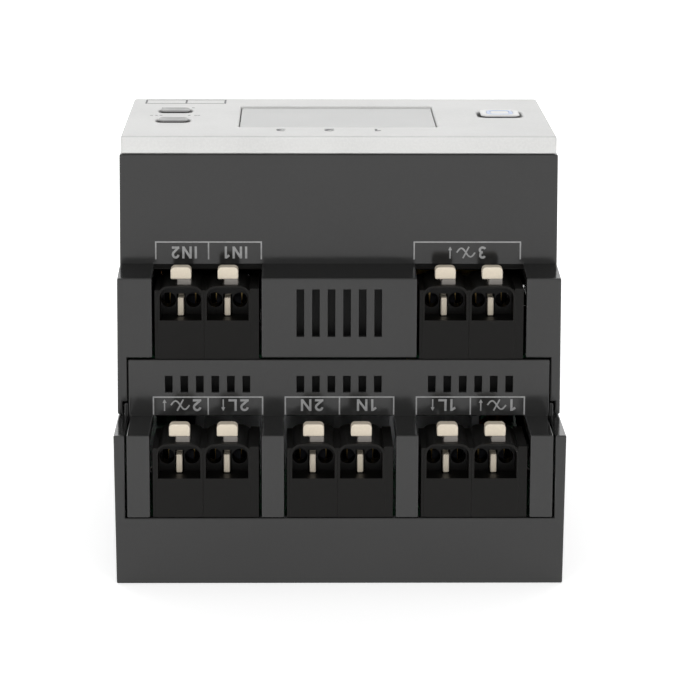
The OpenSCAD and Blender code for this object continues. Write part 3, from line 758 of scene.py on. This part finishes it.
def key_rings(node, corner):
    """Levels of a front key from its stem, over its collar, to the edge of its cap."""
    low, high = (corner_point / MM for corner_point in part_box(node))
    width, length = high.x - low.x, high.y - low.y
    cap_w, cap_l = width - 2, length - 2
    collar = low.z + 1.55
    rings = [(2.2, 2.2, 1.1, low.z), (2.4, 2.4, 1.2, low.z + 0.1), (2.4, 2.4, 1.2, collar),
             (width, length, corner, collar), (width, length, corner, collar + 0.85),
             (cap_w, cap_l, corner, collar + 0.85), (cap_w, cap_l, corner, high.z - KEY_EDGE)]
    for step in range(1, 7):
        turn = math.radians(15 * step)
        inset = KEY_EDGE * (1 - math.cos(turn))
        level = high.z - KEY_EDGE * (1 - math.sin(turn))
        rings.append((cap_w - 2 * inset, cap_l - 2 * inset, corner - inset / 2, level))
    return rings, (cap_w - 2 * KEY_EDGE, cap_l - 2 * KEY_EDGE, corner - 0.2, high.z), (
        (low.x + high.x) / 2, (low.y + high.y) / 2)


def dark_collar(piece):
    """Everything below the cap's top edge is painted black as the shade in the gap round the key, which shows
    as the line round the key.
    """
    piece.data.materials.append(gap_black)
    for face in piece.data.polygons:
        if face.center.z < (cover_face - 0.25) * MM:
            face.material_index = 1
    return piece


KEY_EDGE = 0.25                   # radius of a cap's top edge
for node in ("channel_key", "select_key"):
    rings, (width, length, corner, top), centre = key_rings(node, 0.9)
    for step in range(1, 9):
        inward = step / 9
        rings.append((width * (1 - inward), length * (1 - inward), corner * (1 - inward) + 0.15 * inward,
                      top - 0.25 * (1 - (1 - inward) ** 2.2)))
    standing_for(dark_collar(stacked(node + "_dished", centre, rings, key_grey)), node)

rings, (width, length, corner, top), centre = key_rings("system_button", 1.3)
ring_low, ring_high = (corner_point / MM for corner_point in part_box("status_light_ring"))
ring_w, ring_l = ring_high.x - ring_low.x, ring_high.y - ring_low.y
groove_floor = top - 1.0
rings += [(ring_w + 0.2, ring_l + 0.2, 1.28, top), (ring_w + 0.1, ring_l + 0.1, 1.25, top - 0.06),
          (ring_w + 0.1, ring_l + 0.1, 1.25, groove_floor), (ring_w - 1.3, ring_l - 1.3, 0.75, groove_floor),
          (ring_w - 1.3, ring_l - 1.3, 0.75, top - 0.1), (ring_w - 1.5, ring_l - 1.5, 0.65, top - 0.02),
          (ring_w - 2.4, ring_l - 2.4, 0.4, top - 0.06), (0.6, 1.0, 0.25, top - 0.1)]
standing_for(dark_collar(stacked("system_button_moulded", centre, rings, button_white)), "system_button")
ring_rings = [(ring_w - 1.2, ring_l - 1.2, 0.8, ring_low.z), (ring_w, ring_l, 1.2, ring_low.z),
              (ring_w, ring_l, 1.2, ring_high.z - 0.12), (ring_w - 0.2, ring_l - 0.2, 1.15, ring_high.z),
              (ring_w - 1.0, ring_l - 1.0, 0.85, ring_high.z),
              (ring_w - 1.2, ring_l - 1.2, 0.8, ring_high.z - 0.12)]
lit_ring = stacked("status_light_ring_lit", centre, ring_rings, ring_light, hollow=True)
standing_for(lit_ring, "status_light_ring")

softened("display_window", lcd_film, 0.1)
softened("lcd_panel", lcd_glass, 0.08)
softened("backlight_guide", light_guide_white, 0.15)


# ---------- repeated parts, from geometry nodes ----------

class Pattern:
    """A geometry node tree with named inputs, whose result becomes a plain mesh."""

    def __init__(self, name, **inputs):
        self.tree = bpy.data.node_groups.new(name, "GeometryNodeTree")
        self.tree.interface.new_socket("Geometry", in_out="OUTPUT", socket_type="NodeSocketGeometry")
        self.ids = {}
        for key, value in inputs.items():
            kind = "NodeSocketInt" if isinstance(value, int) else "NodeSocketFloat"
            socket = self.tree.interface.new_socket(key, in_out="INPUT", socket_type=kind)
            socket.default_value = value
            self.ids[key] = socket.identifier
        self.inputs = self.tree.nodes.new("NodeGroupInput")
        self.end = self.tree.nodes.new("NodeGroupOutput")

    def given(self, key):
        return self.inputs.outputs[key]

    def node(self, kind, settings=None, values=None, output=0):
        node = self.tree.nodes.new(kind)
        for key, value in (settings or {}).items():
            setattr(node, key, value)
        for key, value in (values or {}).items():
            if isinstance(value, bpy.types.NodeSocket):
                self.tree.links.new(value, node.inputs[key])
            else:
                node.inputs[key].default_value = value
        return node.outputs[output]

    def ends_in(self, geometry, material):
        real = self.node("GeometryNodeRealizeInstances", {}, {0: geometry})
        painted = self.node("GeometryNodeSetMaterial", {}, {"Geometry": real, "Material": material})
        self.tree.links.new(painted, self.end.inputs[0])

    def made(self, name, place=Matrix.Identity(4), **inputs):
        piece = linked(name, bpy.data.meshes.new(name))
        grow = piece.modifiers.new("pattern", "NODES")
        grow.node_group = self.tree
        for key, value in inputs.items():
            grow[self.ids[key]] = value
        baked(piece)
        piece.data.transform(place)
        return piece


def coil_pattern():
    """A round wire wound in a spring, standing on the origin along +Z."""
    tree = Pattern("coil spring", Turns=7.0, Radius=0.95 * MM, Wire=0.22 * MM, Length=9 * MM)
    path = tree.node("GeometryNodeCurveSpiral", {}, {
        "Resolution": 28, "Rotations": tree.given("Turns"), "Start Radius": tree.given("Radius"),
        "End Radius": tree.given("Radius"), "Height": tree.given("Length")})
    wire = tree.node("GeometryNodeCurvePrimitiveCircle", {}, {"Resolution": 12, "Radius": tree.given("Wire")})
    tube = tree.node("GeometryNodeCurveToMesh", {}, {"Curve": path, "Profile Curve": wire, "Fill Caps": True})
    tree.ends_in(tree.node("GeometryNodeSetShadeSmooth", {}, {0: tube}), spring_steel)
    return tree


def winding_pattern():
    """Turns of wire side by side round a ring core that lies in the XY plane."""
    tree = Pattern("choke winding", Turns=26, Ring=3.6 * MM, Loop=1.6 * MM, Wire=0.26 * MM)
    circle = "GeometryNodeCurvePrimitiveCircle"
    ring = tree.node(circle, {}, {"Resolution": tree.given("Turns"), "Radius": tree.given("Ring")})
    loop = tree.node(circle, {}, {"Resolution": 14, "Radius": tree.given("Loop")})
    wire = tree.node(circle, {}, {"Resolution": 6, "Radius": tree.given("Wire")})
    turn = tree.node("GeometryNodeCurveToMesh", {}, {"Curve": loop, "Profile Curve": wire})
    along = tree.node("GeometryNodeInputTangent")
    facing = tree.node("FunctionNodeAlignRotationToVector", {"axis": "Z"}, {"Vector": along})
    points = tree.node("GeometryNodeCurveToPoints", {"mode": "EVALUATED"}, {0: ring})
    turns = tree.node("GeometryNodeInstanceOnPoints", {},
                      {"Points": points, "Instance": turn, "Rotation": facing})
    tree.ends_in(tree.node("GeometryNodeSetShadeSmooth", {}, {0: turns}), winding_copper)
    return tree


def pin_pattern():
    """Square pins in a row along +X, starting at the origin."""
    tree = Pattern("header pins", Pins=6, Pitch=2.54 * MM, Width=0.6 * MM, Height=2.0 * MM)
    step = tree.node("ShaderNodeCombineXYZ", {}, {"X": tree.given("Pitch")})
    row = tree.node("GeometryNodeMeshLine", {}, {"Count": tree.given("Pins"), "Offset": step})
    size = tree.node("ShaderNodeCombineXYZ", {},
                     {"X": tree.given("Width"), "Y": tree.given("Width"), "Z": tree.given("Height")})
    pin = tree.node("GeometryNodeMeshCube", {},
                    {"Size": size, "Vertices X": 2, "Vertices Y": 2, "Vertices Z": 3})
    pins = tree.node("GeometryNodeInstanceOnPoints", {}, {"Points": row, "Instance": pin})
    tree.ends_in(pins, contact_brass)
    return tree


spring_low, spring_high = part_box("latch_spring")
spring_wire = 0.22 * MM
spring_length = spring_high.y - spring_low.y - 2 * spring_wire
spring_centre = (spring_low + spring_high) / 2
spring_foot = Matrix.Translation((spring_centre.x, spring_low.y + spring_wire, spring_centre.z))
along_y = spring_foot @ Matrix.Rotation(math.radians(-90), 4, "X")
latch_coil = coil_pattern().made("latch_spring_coil", along_y, Length=spring_length)
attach(latch_coil, HOUSING)
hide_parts("latch_spring")
latch_travel = next(j["range_m"][1] for j in frame["joints"] if j["name"] == "rail_latch_pull")
1 - latch_travel / (spring_high.y - spring_low.y)
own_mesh(latch_coil)

choke_low, choke_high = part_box("chokes")
choke_r = (choke_high.z - choke_low.z) / 2
winding = winding_pattern()
for side, x in (("left", choke_low.x + choke_r), ("right", choke_high.x - choke_r)):
    centre = Matrix.Translation((x, (choke_low.y + choke_high.y) / 2, (choke_low.z + choke_high.z) / 2))
    stand = centre @ Matrix.Rotation(math.radians(90), 4, "X")
    riding(winding.made("choke_winding_" + side, stand), HOUSING)

pins = pin_pattern()
pin_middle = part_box("terminal_board")[1].z + 0.6 * MM
for side, x in (("left", -24.5 * MM), ("right", 10.5 * MM)):
    place = Matrix.Translation((x, 16.2 * MM, pin_middle))
    riding(pins.made("header_pins_" + side, place, Height=1.6 * MM), HOUSING)


# ---------- the rest of the frame ----------

kept_as_made = {
    "lcd_contact_strip": zebra_rubber,
    "system_switch_plunger": connector_black, "channel_switch_plunger": connector_black,
    "select_switch_plunger": connector_black, "key_switches": can_tin,
    "display_board": board_green, "terminal_board": board_green, "power_board": board_green,
    "board_screws": screw_steel, "contact_bars": contact_brass, "clamp_springs": clamp_steel_shaded,
    # the touch guards are painted black as the shade seen through the vent slits
    "touch_guards": gap_black,
    "heat_sink": sink_aluminium, "power_transistors": connector_black,
    "storage_capacitors": capacitor_sleeve, "chokes": winding_copper, "fuses": fuse_ceramic,
    "supply_transformer": tape_yellow, "radio_module": can_tin,
    "antenna_wire": winding_copper, "control_chips": connector_black, "status_led": led_lens,
}
for node, material in kept_as_made.items():
    mesh = frame["nodes"][node].data
    mesh.materials.clear()
    mesh.materials.append(material)


# ---------- studio ----------

def sweep_floor():
    """A flat floor that turns up into a wall far behind."""
    bend_y, bend_r, steps = 1.1, 0.5, 12
    profile = [(-2.0, 0.0), (bend_y, 0.0)]
    for angle in (math.pi / 2 * i / steps for i in range(1, steps + 1)):
        profile.append((bend_y + bend_r * math.sin(angle), bend_r - bend_r * math.cos(angle)))
    profile.append((bend_y + bend_r, 2.0))
    mesh = bpy.data.meshes.new("studio_floor")
    verts = [(x, y, z) for x in (-2.2, 2.2) for y, z in profile]
    count = len(profile)
    mesh.from_pydata(verts, [], [(i, count + i, count + i + 1, i + 1) for i in range(count - 1)])
    mesh.shade_smooth()
    return linked("studio_floor", mesh, pale_floor())


sweep_floor()


def soft_light(name, place, target, size, power):
    lamp = bpy.data.lights.new(name, "AREA")
    lamp.shape = "RECTANGLE"
    lamp.size, lamp.size_y = size
    lamp.energy = power
    holder = bpy.data.objects.new(name, lamp)
    holder.location = place
    holder.rotation_euler = (Vector(target) - Vector(place)).to_track_quat("-Z", "Y").to_euler()
    bpy.context.scene.collection.objects.link(holder)


soft_light("light_front_left", (-0.75, -1.05, 0.42), (0, 0, 0.03), (0.7, 0.7), 3.1)
soft_light("light_front_right", (0.75, -1.05, 0.42), (0, 0, 0.03), (0.7, 0.7), 3.1)
soft_light("light_above", (0, -0.95, 1.05), (0, 0, 0.03), (1.2, 0.8), 2.1)
soft_light("light_behind", (0, 1.0, 0.9), (0, 0.3, 0.0), (1.4, 0.6), 4.5)

world = bpy.data.worlds.new("studio")
world.use_nodes = True
world.node_tree.nodes["Background"].inputs["Color"].default_value = (1, 1, 1, 1)
world.node_tree.nodes["Background"].inputs["Strength"].default_value = 0.43
bpy.context.scene.world = world
bpy.context.scene.view_settings.view_transform = "Standard"
bpy.context.scene.view_settings.look = "None"

camera_place = Vector((-7.0, -517.5, 143.1)) * MM
camera_target = Vector((0.591, 0, 30.133)) * MM
camera_roll = math.radians(0.17)
lens = bpy.data.cameras.new("camera")
lens.sensor_width = 36
lens.lens = 162.4
lens.clip_start = 0.01
camera = bpy.data.objects.new("camera", lens)
bpy.context.scene.collection.objects.link(camera)
camera.location = camera_place
camera.rotation_mode = "QUATERNION"
aim = (camera_target - camera_place).to_track_quat("-Z", "Y")
camera.rotation_quaternion = aim @ Quaternion((0, 0, 1), camera_roll)
bpy.context.scene.camera = camera
